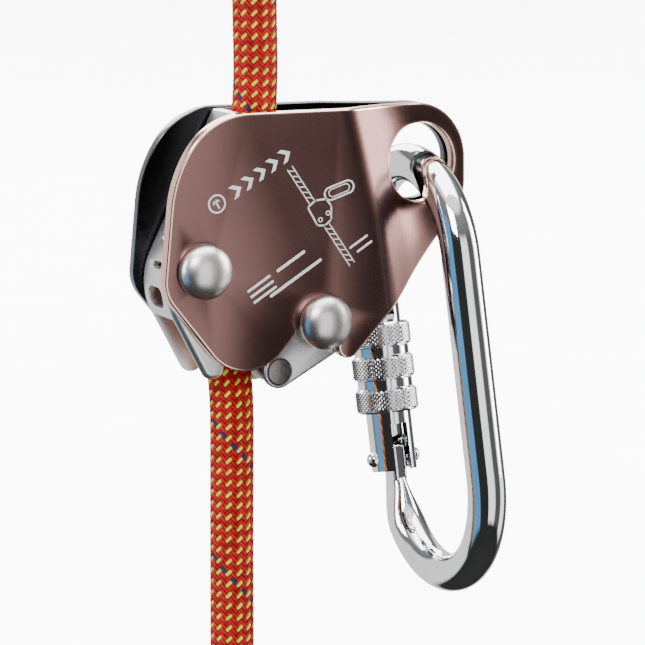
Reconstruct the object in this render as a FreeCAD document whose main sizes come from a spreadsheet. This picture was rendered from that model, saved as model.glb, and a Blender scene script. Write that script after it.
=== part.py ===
"""Two-plate rope grab with a screw-gate carabiner, on a length of kernmantle rope.

Frame: +X towards the carabiner hole, +Y from the front plate to the back plate, +Z up the rope.
The origin is on the axis of the hanging rope, level with the main pivot, midway between the plates.
"""
import math
import os

import FreeCAD
import Part

V = FreeCAD.Vector
doc = FreeCAD.newDocument("rope_grab")

# ---------------------------------------------------------------- driving dimensions (mm, degrees)
DIMENSIONS = {
    "pivot_x": -12.2, "pivot_z": 0.0,
    "cam_x": 19.5, "cam_z": -14.4,
    "cross_x": 9.3, "cross_z": -26.4,
    "hole_x": 48.9, "hole_z": 21.9, "hole_radius": 9.6,
    "plate_thickness": 3.0, "plate_inner": 8.0,
    "bend_x": 30.0, "bend_z": 13.5, "bend_tilt": 14.3, "bend_radius": 9.0,
    "bend_angle": 26.0, "bend_straight": 3.5, "return_radius": 42.0, "return_angle": 4.0,
    "shell_outer": 7.6, "shell_wall": 1.6, "shell_bend": 1.5, "spine_end_z": -12.0,
    "head_radius": 6.65, "head_rim": 1.5, "head_dome": 4.0,
    "pin_radius": 3.5, "bush_wall": 0.9, "running_gap": 0.04,
    "cap_radius": 6.2, "cap_dome": 2.6, "washer_radius": 6.0, "washer_gap": 0.03,
    "arm_radius": 9.9, "arm_tip_radius": 4.1, "arm_thickness": 1.6,
    "cross_radius": 3.2, "cam_face_radius": 15.8, "cam_boss_radius": 7.2, "cam_half_width": 5.6,
    "cam_face_start": 122.0, "cam_face_end": 205.0, "cam_groove_radius": 0.7, "cam_groove_step": 7.0,
    "spring_wire": 0.9, "spring_coil_radius": 5.5, "spring_seat": 1.9, "spring_leg": 4.5,
    "rope_diameter": 10.8,
    "thimble_radius": 9.0, "thimble_wall": 1.5, "thimble_width": 11.0, "eye_rise": 26.0,
    "thimble_foot": 7.0, "thimble_foot_half": 2.6, "thimble_web": 6.5,
    "splice_length": 24.0, "splice_half_width": 11.8, "splice_half_depth": 6.6,
    "end_cap_length": 24.0, "end_cap_wall": 0.8, "end_cap_corner": 3.0,
    "ring_x": 53.5, "ring_y": 0.0, "ring_z": -30.2, "ring_lean": 2.5, "ring_tilt": 9.7,
    "rod_diameter": 9.5, "ring_radius": 24.25, "ring_half": 27.0,
    "nose_z": 20.0, "nose_tip_z": 13.5,
    "gate_radius": 5.75, "gate_top_z": 18.5, "gate_end_z": -25.9, "gate_bore": 4.3, "bore_top_z": -1.0,
    "hinge_z": -22.7, "hinge_radius": 1.5, "latch_z": 16.0, "latch_radius": 1.1,
    "tongue_half": 2.0, "tongue_inner": 3.6, "tongue_outer": 2.5,
    "tongue_low_z": -29.0, "tongue_top_z": -19.2,
    "window_top_z": -14.0, "window_width": 4.6,
    "nose_hook_half": 3.4, "nose_notch_y": 1.3, "nose_notch_half": 1.4, "nose_collar_height": 4.5,
    "gate_spring_wire": 0.8, "gate_spring_coil_radius": 2.7, "gate_spring_low_z": -13.2,
    "plunger_radius": 4.0, "plunger_top_z": -13.7, "plunger_low_z": -18.0, "plunger_cone": 1.6,
    "sleeve_radius": 8.0, "sleeve_groove_radius": 7.0, "sleeve_top_z": 11.8, "sleeve_low_z": -11.0,
    "sleeve_groove_width": 2.1, "sleeve_bevel": 0.5, "sleeve_clearance": 0.06,
    "through": 40.0,
}
sheet = doc.addObject("Spreadsheet::Sheet", "Dimensions")
for row, (alias, value) in enumerate(DIMENSIONS.items(), start=1):
    sheet.set("A%d" % row, alias)
    sheet.set("B%d" % row, str(value))
    sheet.setAlias("B%d" % row, alias)
doc.recompute()


def dim(alias):
    """The value of one cell of the sheet."""
    return float(sheet.get(alias))


def bind(obj, **expressions):
    """Bind properties to expressions in the sheet's aliases; a double underscore stands for a dot."""
    for name, expression in expressions.items():
        for alias in sorted(DIMENSIONS, key=len, reverse=True):
            expression = expression.replace("$" + alias, "Dimensions." + alias)
        obj.setExpression(name.replace("__", "."), expression)
    return obj


nodes = []


def node(obj, label, placement=None):
    """Give a finished sub-part its name, and its place if it has one of its own."""
    obj.Label = label
    if placement is not None:
        obj.Placement = placement
    nodes.append(obj)
    return obj


# ---------------------------------------------------------------- outlines
def rounded(corners):
    """Edges in the XY plane of a closed polygon whose corners (x, y, radius) are rounded."""
    count = len(corners)
    arcs = []
    for i, (x, y, radius) in enumerate(corners):
        here = V(x, y, 0)
        before = (V(*corners[i - 1][:2], 0) - here).normalize()
        after = (V(*corners[(i + 1) % count][:2], 0) - here).normalize()
        half = before.getAngle(after) / 2
        tangent = radius / math.tan(half)
        middle = here + (before + after).normalize() * (radius / math.sin(half) - radius)
        arcs.append((here + before * tangent, middle, here + after * tangent))
    edges = []
    for i, (start, middle, end) in enumerate(arcs):
        if start.distanceToPoint(end) > 1e-4:
            edges.append(Part.Arc(start, middle, end))
        following = arcs[(i + 1) % count][0]
        if end.distanceToPoint(following) > 1e-4:
            edges.append(Part.LineSegment(end, following))
    return edges


def stadium(centre_a, radius_a, centre_b, radius_b):
    """Edges of the belt outline round two circles."""
    a, b = V(*centre_a, 0), V(*centre_b, 0)
    along = math.atan2(b.y - a.y, b.x - a.x)
    spread = math.acos((radius_a - radius_b) / a.distanceToPoint(b))

    def rim(centre, radius, angle):
        return centre + V(math.cos(angle), math.sin(angle), 0) * radius

    left, right = along + spread, along - spread
    return [Part.Arc(rim(a, radius_a, left), rim(a, radius_a, along + math.pi), rim(a, radius_a, right)),
            Part.LineSegment(rim(a, radius_a, right), rim(b, radius_b, right)),
            Part.Arc(rim(b, radius_b, right), rim(b, radius_b, along), rim(b, radius_b, left)),
            Part.LineSegment(rim(b, radius_b, left), rim(a, radius_a, left))]


def circle(x, y, radius):
    return [Part.Circle(V(x, y, 0), V(0, 0, 1), radius)]


def offset_corners(corners, distance):
    """Corners of the polygon that lies a distance inside a counter-clockwise one."""
    result = []
    count = len(corners)
    for i, (x, y, radius) in enumerate(corners):
        here = V(x, y, 0)
        incoming = (here - V(*corners[i - 1][:2], 0)).normalize()
        outgoing = (V(*corners[(i + 1) % count][:2], 0) - here).normalize()
        inward = V(-incoming.y, incoming.x, 0) + V(-outgoing.y, outgoing.x, 0)
        moved = here + inward * (distance * 2 / inward.dot(inward))
        result.append((moved.x, moved.y, radius))
    return result


# ---------------------------------------------------------------- ways of making a solid
def origin_plane(body, role):
    for feature in body.Origin.OriginFeatures:
        if feature.Role == role:
            return feature
    raise ValueError(role)


def body_sketch(body, role, edges, name):
    sketch = body.newObject("Sketcher::SketchObject", name)
    sketch.AttachmentSupport = (origin_plane(body, role), "")
    sketch.MapMode = "FlatFace"
    sketch.addGeometry(edges, False)
    return sketch


def new_body(name):
    return doc.addObject("PartDesign::Body", name)


def pad(body, sketch, length):
    feature = body.newObject("PartDesign::Pad", sketch.Name + "_pad")
    feature.Profile = sketch
    feature.Midplane = True
    bind(feature, Length=length)
    return feature


def pocket(body, sketch, length=None):
    """Cut a sketch out of a body, evenly both ways: to a length, or all the way."""
    feature = body.newObject("PartDesign::Pocket", sketch.Name + "_pocket")
    feature.Profile = sketch
    feature.Midplane = True
    if length is None:
        feature.Type = "ThroughAll"
    else:
        bind(feature, Length=length)
    return feature


def turned(label, edges, placement):
    """A lathe-turned piece: a profile of (radius, height) edges revolved about its own Z."""
    body = new_body(label + "_body")
    sketch = body_sketch(body, "XZ_Plane", edges, label + "_profile")
    feature = body.newObject("PartDesign::Revolution", label + "_turned")
    feature.Profile = sketch
    feature.ReferenceAxis = (sketch, ["V_Axis"])
    feature.Angle = 360
    return node(body, label, placement)


def profile(points):
    """Straight edges through the points of a closed profile; a triple (x, y, bulge point) ends an arc."""
    edges = []
    count = len(points)
    for i in range(count):
        start = V(*points[i][:2], 0)
        target = points[(i + 1) % count]
        end = V(*target[:2], 0)
        if len(target) == 3:
            edges.append(Part.Arc(start, V(*target[2], 0), end))
        else:
            edges.append(Part.LineSegment(start, end))
    return edges


def facing(x, z, y, front):
    """Place a turned piece at (x, z) with its foot at y, its own Z towards the front or the back."""
    turn = FreeCAD.Rotation(V(1, 0, 0), 90 if front else -90)
    return FreeCAD.Placement(V(x, y, z), turn)


def cylinder_y(name, x, z, y0, radius, length):
    """A cylinder along +Y; all but the name are expressions."""
    solid = doc.addObject("Part::Cylinder", name)
    solid.Placement = FreeCAD.Placement(V(0, 0, 0), FreeCAD.Rotation(V(1, 0, 0), -90))
    bind(solid, Radius=radius, Height=length, Placement__Base__x=x, Placement__Base__z=z,
         Placement__Base__y=y0)
    return solid


def cut(name, base, tool):
    result = doc.addObject("Part::Cut", name)
    result.Base = base
    result.Tool = tool
    return result


def fuse(name, shapes):
    result = doc.addObject("Part::MultiFuse", name)
    result.Shapes = shapes
    return result


def flat_sketch(name, edges, placement):
    """A free sketch; its own XY plane goes where the placement says."""
    sketch = doc.addObject("Sketcher::SketchObject", name)
    sketch.Placement = placement
    sketch.addGeometry(edges, False)
    return sketch


def extrude(name, sketch, direction, length):
    solid = doc.addObject("Part::Extrusion", name)
    solid.Base = sketch
    solid.DirMode = "Custom"
    solid.Dir = direction
    solid.Symmetric = True
    solid.Solid = True
    bind(solid, LengthFwd=length)
    return solid


# a sketch's x goes to +X, its y to +Z and its normal to -Y
SIDE_ON = FreeCAD.Rotation(V(1, 0, 0), 90)


def side_sketch(name, edges, y=0.0):
    return flat_sketch(name, edges, FreeCAD.Placement(V(0, y, 0), SIDE_ON))


# ---------------------------------------------------------------- side plates
FRONT_OUTLINE = [
    (-10.4, 36.9, 18.0), (-19.8, 22.0, 30.0), (-22.4, -5.0, 9.0), (-1.2, -31.5, 12.0),
    (14.0, -14.7, 4.0), (17.3, -8.6, 4.35), (25.3, -12.2, 4.35), (22.7, -23.9, 2.8),
    (27.3, -23.9, 2.6), (62.0, 11.4, 14.0), (62.0, 36.3, 14.0),
]
# the back plate holds the cam pin in a hole, so it has no notch
BACK_OUTLINE = FRONT_OUTLINE[:4] + [(11.0, -18.6, 5.0), (19.5, -23.9, 5.5)] + FRONT_OUTLINE[8:]


def joggle_section(side):
    """Section of a bent plate across its bend line: x from the line, y from the mid-plane.

    side is -1 for the front plate and +1 for the back one. The plate is flat, bends inwards,
    runs straight for a short way and bends back until it is nearly parallel again.
    """
    first = math.radians(dim("bend_angle"))
    last = math.radians(dim("return_angle"))
    thick = dim("plate_thickness")
    reach = 60.0

    def face(depth):
        """Points of one face; depth is its distance from the outer face."""
        bend = dim("bend_radius") + thick - depth
        back = dim("return_radius") + depth
        height = dim("plate_inner") + thick - depth

        def turn(start, radius, from_angle, to_angle):
            """Follow an arc while the slope goes from one angle to the other."""
            sign = 1 if to_angle > from_angle else -1
            x = start[0] + sign * radius * (math.sin(to_angle) - math.sin(from_angle))
            y = start[1] - sign * radius * (math.cos(from_angle) - math.cos(to_angle))
            return (x, y)

        a = (-reach, height)
        b = (0.0, height)
        b_mid = turn(b, bend, 0.0, first / 2)
        c = turn(b, bend, 0.0, first)
        run = dim("bend_straight")
        d = (c[0] + run * math.cos(first), c[1] - run * math.sin(first))
        d_mid = turn(d, back, first, (first + last) / 2)
        e = turn(d, back, first, last)
        f = (e[0] + reach * 0.5 * math.cos(last), e[1] - reach * 0.5 * math.sin(last))
        return a, b, b_mid, c, d, d_mid, e, f

    def place(point):
        return V(point[0], side * point[1], 0)

    edges = []
    ends = []
    for depth in (0.0, thick):
        a, b, b_mid, c, d, d_mid, e, f = (place(point) for point in face(depth))
        edges += [Part.LineSegment(a, b), Part.Arc(b, b_mid, c), Part.LineSegment(c, d),
                  Part.Arc(d, d_mid, e), Part.LineSegment(e, f)]
        ends.append((a, f))
    edges.append(Part.LineSegment(ends[0][0], ends[1][0]))
    edges.append(Part.LineSegment(ends[0][1], ends[1][1]))
    return edges


def side_plate(label, outline, side):
    edges = rounded(outline)
    blank = extrude(label + "_blank", side_sketch(label + "_outline", edges), V(0, 1, 0), "$through")
    turn = FreeCAD.Rotation(V(0, 1, 0), -dim("bend_tilt"))
    place = FreeCAD.Placement(V(dim("bend_x"), 0, dim("bend_z")), turn)
    section = flat_sketch(label + "_section", joggle_section(side), place)
    slab = extrude(label + "_slab", section, turn.multVec(V(0, 0, 1)), "4 * $through")
    bent = doc.addObject("Part::Common", label + "_bent")
    bent.Base = blank
    bent.Tool = slab
    spots = [("ring", "$hole_radius"), ("pivot", "$pin_radius"), ("cam", "$pin_radius")]
    holes = []
    for spot, radius in spots if side > 0 else spots[:2]:
        x, z = ("$hole_x", "$hole_z") if spot == "ring" else ("$%s_x" % spot, "$%s_z" % spot)
        holes.append(cylinder_y("%s_%s_hole" % (label, spot), x, z, "-$through / 2", radius, "$through"))
    return node(cut(label + "_bored", bent, fuse(label + "_holes", holes)), label)


side_plate("front_side_plate", FRONT_OUTLINE, -1)
side_plate("back_side_plate", BACK_OUTLINE, 1)

# ---------------------------------------------------------------- rope channel shell
# counter-clockwise; the second, third and fourth corners make the spine
SHELL_OUTLINE = [
    (9.5, 36.4, 1.5), (-1.7, 36.4, 1.0), (-22.1, -4.3, 16.0), (-9.9, -27.0, 3.0),
    (-5.3, -27.0, 2.6), (-4.3, -14.0, 4.0), (9.5, -3.5, 5.0),
]
# half width, upper edge, lower edge, and the corner radii above and below
SPINE_WINDOWS = [(3.0, 8.6, 6.2, 0.3, 1.1), (2.4, 1.4, -0.3, 0.4, 0.4), (4.0, -4.6, -9.6, 2.2, 2.2)]


def channel_shell():
    body = new_body("channel_shell_body")
    outline = body_sketch(body, "XZ_Plane", rounded(SHELL_OUTLINE), "shell_outline")
    pad(body, outline, "2 * $shell_outer")
    top, knee, foot = offset_corners(SHELL_OUTLINE, dim("shell_wall"))[1:4]
    end_z = dim("spine_end_z")
    slope = (foot[0] - knee[0]) / (foot[1] - knee[1])
    end_x = knee[0] + slope * (end_z - knee[1])
    rise, away, low = 20.0, 40.0, -40.0
    lead = (knee[0] - top[0]) / (knee[1] - top[1])
    inner = [(away, top[1] + rise, 0), (top[0] + lead * rise, top[1] + rise, 0),
             (knee[0], knee[1], knee[2] - dim("shell_wall")),
             (end_x, end_z, 0), (-away, end_z, 0), (-away, low, 0), (away, low, 0)]
    channel = body_sketch(body, "XZ_Plane", rounded(inner), "shell_channel")
    pocket(body, channel, "2 * ($shell_outer - $shell_wall)")
    doc.recompute()
    corners = [number for number, edge in enumerate(body.Shape.Edges, start=1)
               if abs(abs(edge.CenterOfMass.y) - dim("shell_outer")) < 1e-3
               and edge.CenterOfMass.x < 0 and on_spine(edge.CenterOfMass)]
    channel_cut = body.Tip
    bend = body.newObject("PartDesign::Fillet", "shell_bends")
    bend.Base = (channel_cut, ["Edge%d" % number for number in corners])
    bind(bend, Radius="$shell_bend")
    body.Tip = bend
    doc.recompute()
    windows = []
    for half, high, low_edge, upper_corner, lower_corner in SPINE_WINDOWS:
        windows += rounded([(-half, high, upper_corner), (half, high, upper_corner),
                            (half, low_edge, lower_corner), (-half, low_edge, lower_corner)])
    pocket(body, body_sketch(body, "YZ_Plane", windows, "spine_windows"))
    bores = circle(dim("pivot_x"), dim("pivot_z"), dim("pin_radius") + dim("bush_wall"))
    pocket(body, body_sketch(body, "XZ_Plane", bores, "pivot_bores"))
    return node(body, "channel_shell")


def on_spine(point):
    """Whether a point is on the left-hand rim of the shell, above the end of the spine."""
    corners = SHELL_OUTLINE
    low = dim("spine_end_z") - 4.0
    first, knee, foot = (V(*corners[i][:2], 0) for i in (1, 2, 3))
    flat = V(point.x, point.z, 0)
    gaps = [flat.distanceToLine(first, knee - first), flat.distanceToLine(knee, foot - knee)]
    return point.z > low and min(gaps) < 2.5 and point.z < 36.0


channel_shell()


def bush(label, x, z):
    """A thin bush as long as the shell is wide, turning on a pin."""
    outer = cylinder_y(label + "_outer", x, z, "-$shell_outer", "$pin_radius + $bush_wall",
                       "2 * $shell_outer")
    bore = cylinder_y(label + "_bore", x, z, "-$through / 2", "$pin_radius + $running_gap", "$through")
    return node(cut(label + "_cut", outer, bore), label)


bush("main_pivot_bush", "$pivot_x", "$pivot_z")


def washers(label, x, z):
    """Two thin washers that fill the gap between the shell or the cam and the plates."""
    rings = []
    for i, low in enumerate(("-$plate_inner", "$shell_outer + $washer_gap")):
        outer = cylinder_y("%s_outer_%d" % (label, i), x, z, low, "$washer_radius",
                           "$plate_inner - $shell_outer - $washer_gap")
        inner = cylinder_y("%s_inner_%d" % (label, i), x, z, "-$through / 2", "$pin_radius", "$through")
        rings.append(cut("%s_ring_%d" % (label, i), outer, inner))
    both = doc.addObject("Part::Compound", label + "_pair")
    both.Links = rings
    return node(both, label)


washers("main_pivot_washers", "$pivot_x", "$pivot_z")
washers("cam_pin_washers", "$cam_x", "$cam_z")


# ---------------------------------------------------------------- rivets
def dome_bulge(radius, rim, height):
    """A point half-way along the arc of a spherical dome on a rim."""
    sphere = (radius * radius + height * height) / (2 * height)
    swing = math.asin(radius / sphere) / 2
    return sphere * math.sin(swing), rim + height - sphere * (1 - math.cos(swing))


def domed_pin(label, x, z):
    """A pin with a domed head against the front plate; its shank ends inside the rear cap."""
    head, rim, dome = dim("head_radius"), dim("head_rim"), dim("head_dome")
    shank = dim("pin_radius")
    face = dim("plate_inner") + dim("plate_thickness")
    tail = -2 * face - dim("cap_dome") * 0.4
    points = [(0, tail), (shank - 0.4, tail), (shank, tail + 0.4), (shank, 0), (head - 0.25, 0),
              (head, 0.25), (head, rim), (0, rim + dome, dome_bulge(head, rim, dome))]
    return turned(label, profile(points), facing(x, z, -face, True))


def rear_cap(label, x, z):
    """The shallow riveted-over head at the back, bored to sit on the shank."""
    radius, dome = dim("cap_radius"), dim("cap_dome")
    face = dim("plate_inner") + dim("plate_thickness")
    shank, tail = dim("pin_radius"), dome * 0.4
    rim = 0.8
    points = [(shank, 0), (radius - 0.2, 0), (radius, 0.2), (radius, rim),
              (0, rim + dome, dome_bulge(radius, rim, dome)), (0, tail), (shank, tail)]
    return turned(label, profile(points), facing(x, z, face, False))


for prefix, spot in (("main_pivot", ("pivot_x", "pivot_z")), ("cam", ("cam_x", "cam_z"))):
    place = [dim(alias) for alias in spot]
    domed_pin(prefix + "_pin", *place)
    rear_cap(prefix + "_pin_rear_head", *place)


# ---------------------------------------------------------------- cam
def cam_arm(label, low):
    """A teardrop arm, riding on the cam bush, with the cross pin through its tip."""
    cam, tip = (dim("cam_x"), dim("cam_z")), (dim("cross_x"), dim("cross_z"))
    edges = stadium(cam, dim("arm_radius"), tip, dim("arm_tip_radius"))
    edges += circle(*cam, dim("pin_radius") + dim("bush_wall")) + circle(*tip, dim("cross_radius"))
    sketch = side_sketch(label + "_outline", edges, low + dim("arm_thickness") / 2)
    arm = extrude(label + "_plate", sketch, V(0, 1, 0), "$arm_thickness")
    doc.recompute()
    rims = [number for number, edge in enumerate(arm.Shape.Edges, start=1)
            if abs(edge.CenterOfMass.y - (low if low < 0 else low + dim("arm_thickness"))) < 1e-3
            and edge.BoundBox.DiagonalLength > 10.0]
    finished = doc.addObject("Part::Chamfer", label + "_chamfered")
    finished.Base = arm
    finished.Edges = [(number, 0.3, 0.3) for number in rims]
    return node(finished, label)


cam_arm("cam_arm_front", -dim("shell_outer"))
cam_arm("cam_arm_back", dim("shell_outer") - dim("arm_thickness"))

bush("cam_bush", "$cam_x", "$cam_z")


def cam_block():
    """The gripping block: a round boss on the bush, and a grooved sector that faces the rope."""
    x, z = dim("cam_x"), dim("cam_z")
    face, boss = dim("cam_face_radius"), dim("cam_boss_radius")
    up, down = math.radians(dim("cam_face_start")), math.radians(dim("cam_face_end"))

    def polar(radius, angle):
        return (x + radius * math.cos(angle), z + radius * math.sin(angle))

    middle = (up + down) / 2
    points = [polar(boss * 0.8, up - 1.0), polar(face, up), (*polar(face, down), polar(face, middle)),
              polar(boss * 0.8, down + 0.9)]
    sketch = side_sketch("cam_sector_outline", profile(points))
    sector = extrude("cam_sector", sketch, V(0, 1, 0), "2 * $cam_half_width")
    boss_solid = cylinder_y("cam_boss", "$cam_x", "$cam_z", "-$shell_outer + $arm_thickness",
                            "$cam_boss_radius", "2 * ($shell_outer - $arm_thickness)")
    body = fuse("cam_blank", [sector, boss_solid])
    tools = [cylinder_y("cam_bore", "$cam_x", "$cam_z", "-$through / 2", "$pin_radius + $bush_wall",
                        "$through")]
    step = math.radians(dim("cam_groove_step"))
    grooves = int((down - up) / step)
    for i in range(grooves):
        gx, gz = polar(face + 0.2, up + step * (i + 0.5))
        groove = doc.addObject("Part::Cylinder", "cam_groove_%02d" % i)
        bind(groove, Radius="$cam_groove_radius", Height="$through")
        groove.Placement = FreeCAD.Placement(V(gx, 20, gz), SIDE_ON)
        tools.append(groove)
    # the torsion spring lies in a ring-shaped recess at the back of the boss
    recess = cylinder_y("cam_recess_outer", "$cam_x", "$cam_z", "$spring_seat", "$cam_boss_radius + 1",
                        "$through / 4")
    core = cylinder_y("cam_recess_core", "$cam_x", "$cam_z", "0", "$pin_radius + $bush_wall + 0.01",
                      "$through / 2")
    tools.append(cut("cam_recess", recess, core))
    return node(cut("cam_block_cut", body, fuse("cam_tools", tools)), "cam_block")


cam_block()


def coil(radius, wire, pitch, turns):
    """A round-wire helix about Z, from height zero."""
    helix = Part.makeHelix(pitch, pitch * turns, radius)
    start = helix.Vertexes[0].Point
    section = Part.Wire([Part.makeCircle(wire / 2, start, V(0, radius, pitch / (2 * math.pi)))])
    return Part.Wire(helix).makePipeShell([section], True, True)


def cam_spring():
    """Torsion spring in the recess of the block, with a short working leg."""
    wire, radius = dim("spring_wire"), dim("spring_coil_radius")
    turns, pitch, low = 3, wire * 1.05, dim("spring_seat") + 0.5
    spring = coil(radius, wire, pitch, turns)
    solid = doc.addObject("Part::Feature", "cam_spring_coil")
    leg = Part.makeCylinder(wire / 2, dim("spring_leg"), V(radius, 0.05, pitch * turns), V(0, 1, 0))
    solid.Shape = Part.Compound([spring, leg])
    turn = FreeCAD.Rotation(V(1, 0, 0), -90)
    place = FreeCAD.Placement(V(dim("cam_x"), low, dim("cam_z")), turn)
    return node(solid, "cam_torsion_spring", place)


cam_spring()

node(cylinder_y("cross_pin", "$cross_x", "$cross_z", "-$shell_outer - 0.2", "$cross_radius",
                "2 * $shell_outer + 0.4"), "cam_cross_pin")

# ---------------------------------------------------------------- rope
# routes in the XZ plane, chosen by hand: both leave the clamp between the cam and the pivot
ROPE_UP = [(-2.0, -6.0), (-1.8, 5.0), (1.2, 17.5), (5.7, 30.5), (6.8, 44.0), (6.4, 60.0), (6.4, 74.0)]
ROPE_DOWN = [(-2.0, -6.0), (-2.2, -17.0), (0.1, -31.0), (0.0, -50.0), (-0.15, -74.0), (-0.15, -98.0)]


def rope_path(name, route):
    """Straight runs joined by tangent arcs, each arc as large as its two runs allow."""
    points = [V(x, 0, z) for x, z in route]
    edges = []
    here = points[0]
    radii = []
    for before, corner, after in zip(points, points[1:], points[2:]):
        back = (before - corner).normalize()
        ahead = (after - corner).normalize()
        half_turn = (math.pi - back.getAngle(ahead)) / 2
        reach = 0.45 * min(corner.distanceToPoint(before), corner.distanceToPoint(after))
        radius = reach / math.tan(half_turn)
        radii.append(radius)
        middle = corner + (back + ahead).normalize() * (radius / math.cos(half_turn) - radius)
        edges.append(Part.LineSegment(here, corner + back * reach).toShape())
        here = corner + ahead * reach
        edges.append(Part.Arc(corner + back * reach, middle, here).toShape())
    edges.append(Part.LineSegment(here, points[-1]).toShape())
    print(name, "radii", [round(radius) for radius in radii])
    return Part.Wire(edges)


def tube(path, radius):
    start = path.Edges[0]
    tangent = start.tangentAt(start.FirstParameter)
    ring = Part.Wire([Part.makeCircle(radius, start.valueAt(start.FirstParameter), tangent)])
    return path.makePipeShell([ring], True, False)


def rope(label, route):
    radius = dim("rope_diameter") / 2
    path = rope_path(label, route)
    solid = doc.addObject("Part::Feature", label + "_tube")
    solid.Shape = tube(path, radius)
    ratio = solid.Shape.Volume / (math.pi * radius ** 2 * path.Length)
    print(label, "length", round(path.Length, 1), "volume ratio", round(ratio, 4))
    return node(solid, label, FreeCAD.Placement())


rope("rope_upper", ROPE_UP)
rope("rope_lower", ROPE_DOWN)


def eye_outline(centre_z, foot_z, radius, foot_half):
    """Open teardrop, in x and z from the rope's axis: up one side, over the top and down the other."""
    foot = V(-foot_half, 0, foot_z)
    centre = V(0, 0, centre_z)
    distance = foot.distanceToPoint(centre)
    towards = math.atan2(foot.z - centre.z, foot.x - centre.x)
    spread = math.acos(radius / distance)
    angle = towards - spread
    left = centre + V(math.cos(angle), 0, math.sin(angle)) * radius
    right = V(-left.x, 0, left.z)
    top = centre + V(0, 0, radius)
    return [Part.LineSegment(foot, left), Part.Arc(left, top, right),
            Part.LineSegment(right, V(foot_half, 0, foot_z))]


def splice_sleeve():
    """A shrunk-on sleeve: round where one rope enters, wide and oval where two legs leave it."""
    wide, deep, length = dim("splice_half_width"), dim("splice_half_depth"), dim("splice_length")
    sections = [(0.0, deep - 0.3, deep - 0.35), (0.25, deep + 0.05, deep), (0.6, wide - 1.9, deep + 0.05),
                (1.0, wide, deep)]
    wires = []
    for share, half_x, half_y in sections:
        oval = Part.Ellipse(V(0, 0, share * length), half_x, half_y).toShape()
        wires.append(Part.Wire([oval]))
    return Part.makeLoft(wires, True, False)


def rope_eye():
    """The thimble eye at the rope's upper end: spliced rope, thimble and covering sleeve."""
    x, foot = ROPE_UP[-1]
    radius = dim("rope_diameter") / 2
    top = foot + dim("splice_length")
    centre = top + dim("eye_rise")
    place = FreeCAD.Placement(V(x, 0, 0), FreeCAD.Rotation())
    around = dim("thimble_radius") + dim("thimble_wall") + radius
    half = radius + 0.1
    path = Part.Wire([edge.toShape() for edge in eye_outline(centre, top - 3.0, around, half)])
    loop = doc.addObject("Part::Feature", "eye_loop")
    inside_sleeve = Part.makeBox(80, 80, 40, V(-40, -40, top - 40))
    loop.Shape = tube(path, radius).cut(inside_sleeve)
    node(loop, "rope_eye", place)

    sleeve = doc.addObject("Part::Feature", "splice_sleeve_body")
    sleeve.Shape = splice_sleeve()
    node(sleeve, "splice_sleeve", FreeCAD.Placement(V(x, 0, foot), FreeCAD.Rotation()))

    low, foot_half = top + dim("thimble_foot"), dim("thimble_foot_half")
    outer = [edge.toShape() for edge in eye_outline(centre, low, around, foot_half)]
    outer.append(Part.makeLine(V(foot_half, 0, low), V(-foot_half, 0, low)))
    inner_foot = low + dim("thimble_web")
    inner = [edge.toShape() for edge in eye_outline(centre, inner_foot, dim("thimble_radius"), 0.4)]
    inner.append(Part.makeLine(V(0.4, 0, inner_foot), V(-0.4, 0, inner_foot)))
    width = dim("thimble_width")
    solids = []
    for wire in (outer, inner):
        face = Part.Face(Part.Wire(wire))
        face.translate(V(0, -width / 2, 0))
        solids.append(face.extrude(V(0, width, 0)))
    thimble = doc.addObject("Part::Feature", "thimble_body")
    groove = tube(path, radius + 0.02)
    thimble.Shape = solids[0].cut(solids[1]).cut(groove)
    node(thimble, "eye_thimble", place)


rope_eye()


def rope_end_cap():
    """A shrink-on cap over the rope's lower end."""
    x, z = ROPE_DOWN[-1]
    length = dim("end_cap_length")
    outer = dim("rope_diameter") / 2 + dim("end_cap_wall")
    corner, bevel = dim("end_cap_corner"), 0.6
    bulge = corner * (1 - math.sqrt(0.5))
    points = [(0, 0), (outer - bevel, 0), (outer, -bevel), (outer, -length + corner),
              (outer - corner, -length, (outer - bulge, -length + bulge)), (0, -length)]
    return turned("rope_end_cap", profile(points), FreeCAD.Placement(V(x, 0, z), FreeCAD.Rotation()))


rope_end_cap()

# ---------------------------------------------------------------- carabiner
# its own frame: y from the spine to the gate, z up the long axis, origin at the middle of the ring
LEAN = FreeCAD.Rotation(V(0, 1, 0), -dim("ring_lean"))
TILT = FreeCAD.Rotation(V(1, 0, 0), -dim("ring_tilt"))
RING = FreeCAD.Placement(V(dim("ring_x"), dim("ring_y"), dim("ring_z")), LEAN.multiply(TILT))


def on_gate_axis(height):
    """The place of a piece that is centred on the gate, at a height in the carabiner's frame."""
    return RING.multiply(FreeCAD.Placement(V(0, dim("ring_radius"), height), FreeCAD.Rotation()))


def gate_cylinder(name, low, high, radius):
    """A cylinder on the gate's axis, between two heights in the carabiner's own frame."""
    solid = doc.addObject("Part::Cylinder", name)
    bind(solid, Radius=radius, Height="(%s) - (%s)" % (high, low),
         Placement__Base__y="$ring_radius", Placement__Base__z=low)
    return solid


def cross_cylinder(name, height, radius, length):
    """A cylinder across the gate, along the carabiner's own x, centred on the gate's axis."""
    solid = doc.addObject("Part::Cylinder", name)
    solid.Placement = FreeCAD.Placement(V(0, 0, 0), FreeCAD.Rotation(V(0, 1, 0), 90))
    bind(solid, Radius=radius, Height=length, Placement__Base__x="-(%s) / 2" % length,
         Placement__Base__y="$ring_radius", Placement__Base__z=height)
    return solid


def gate_box(name, half_x, y_low, y_high, z_low, z_high):
    """A box whose y is counted from the gate's axis; all sizes are expressions."""
    solid = doc.addObject("Part::Box", name)
    bind(solid, Length="2 * (%s)" % half_x, Width="(%s) - (%s)" % (y_high, y_low),
         Height="(%s) - (%s)" % (z_high, z_low), Placement__Base__x="-(%s)" % half_x,
         Placement__Base__y="$ring_radius + (%s)" % y_low, Placement__Base__z=z_low)
    return solid


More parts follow.
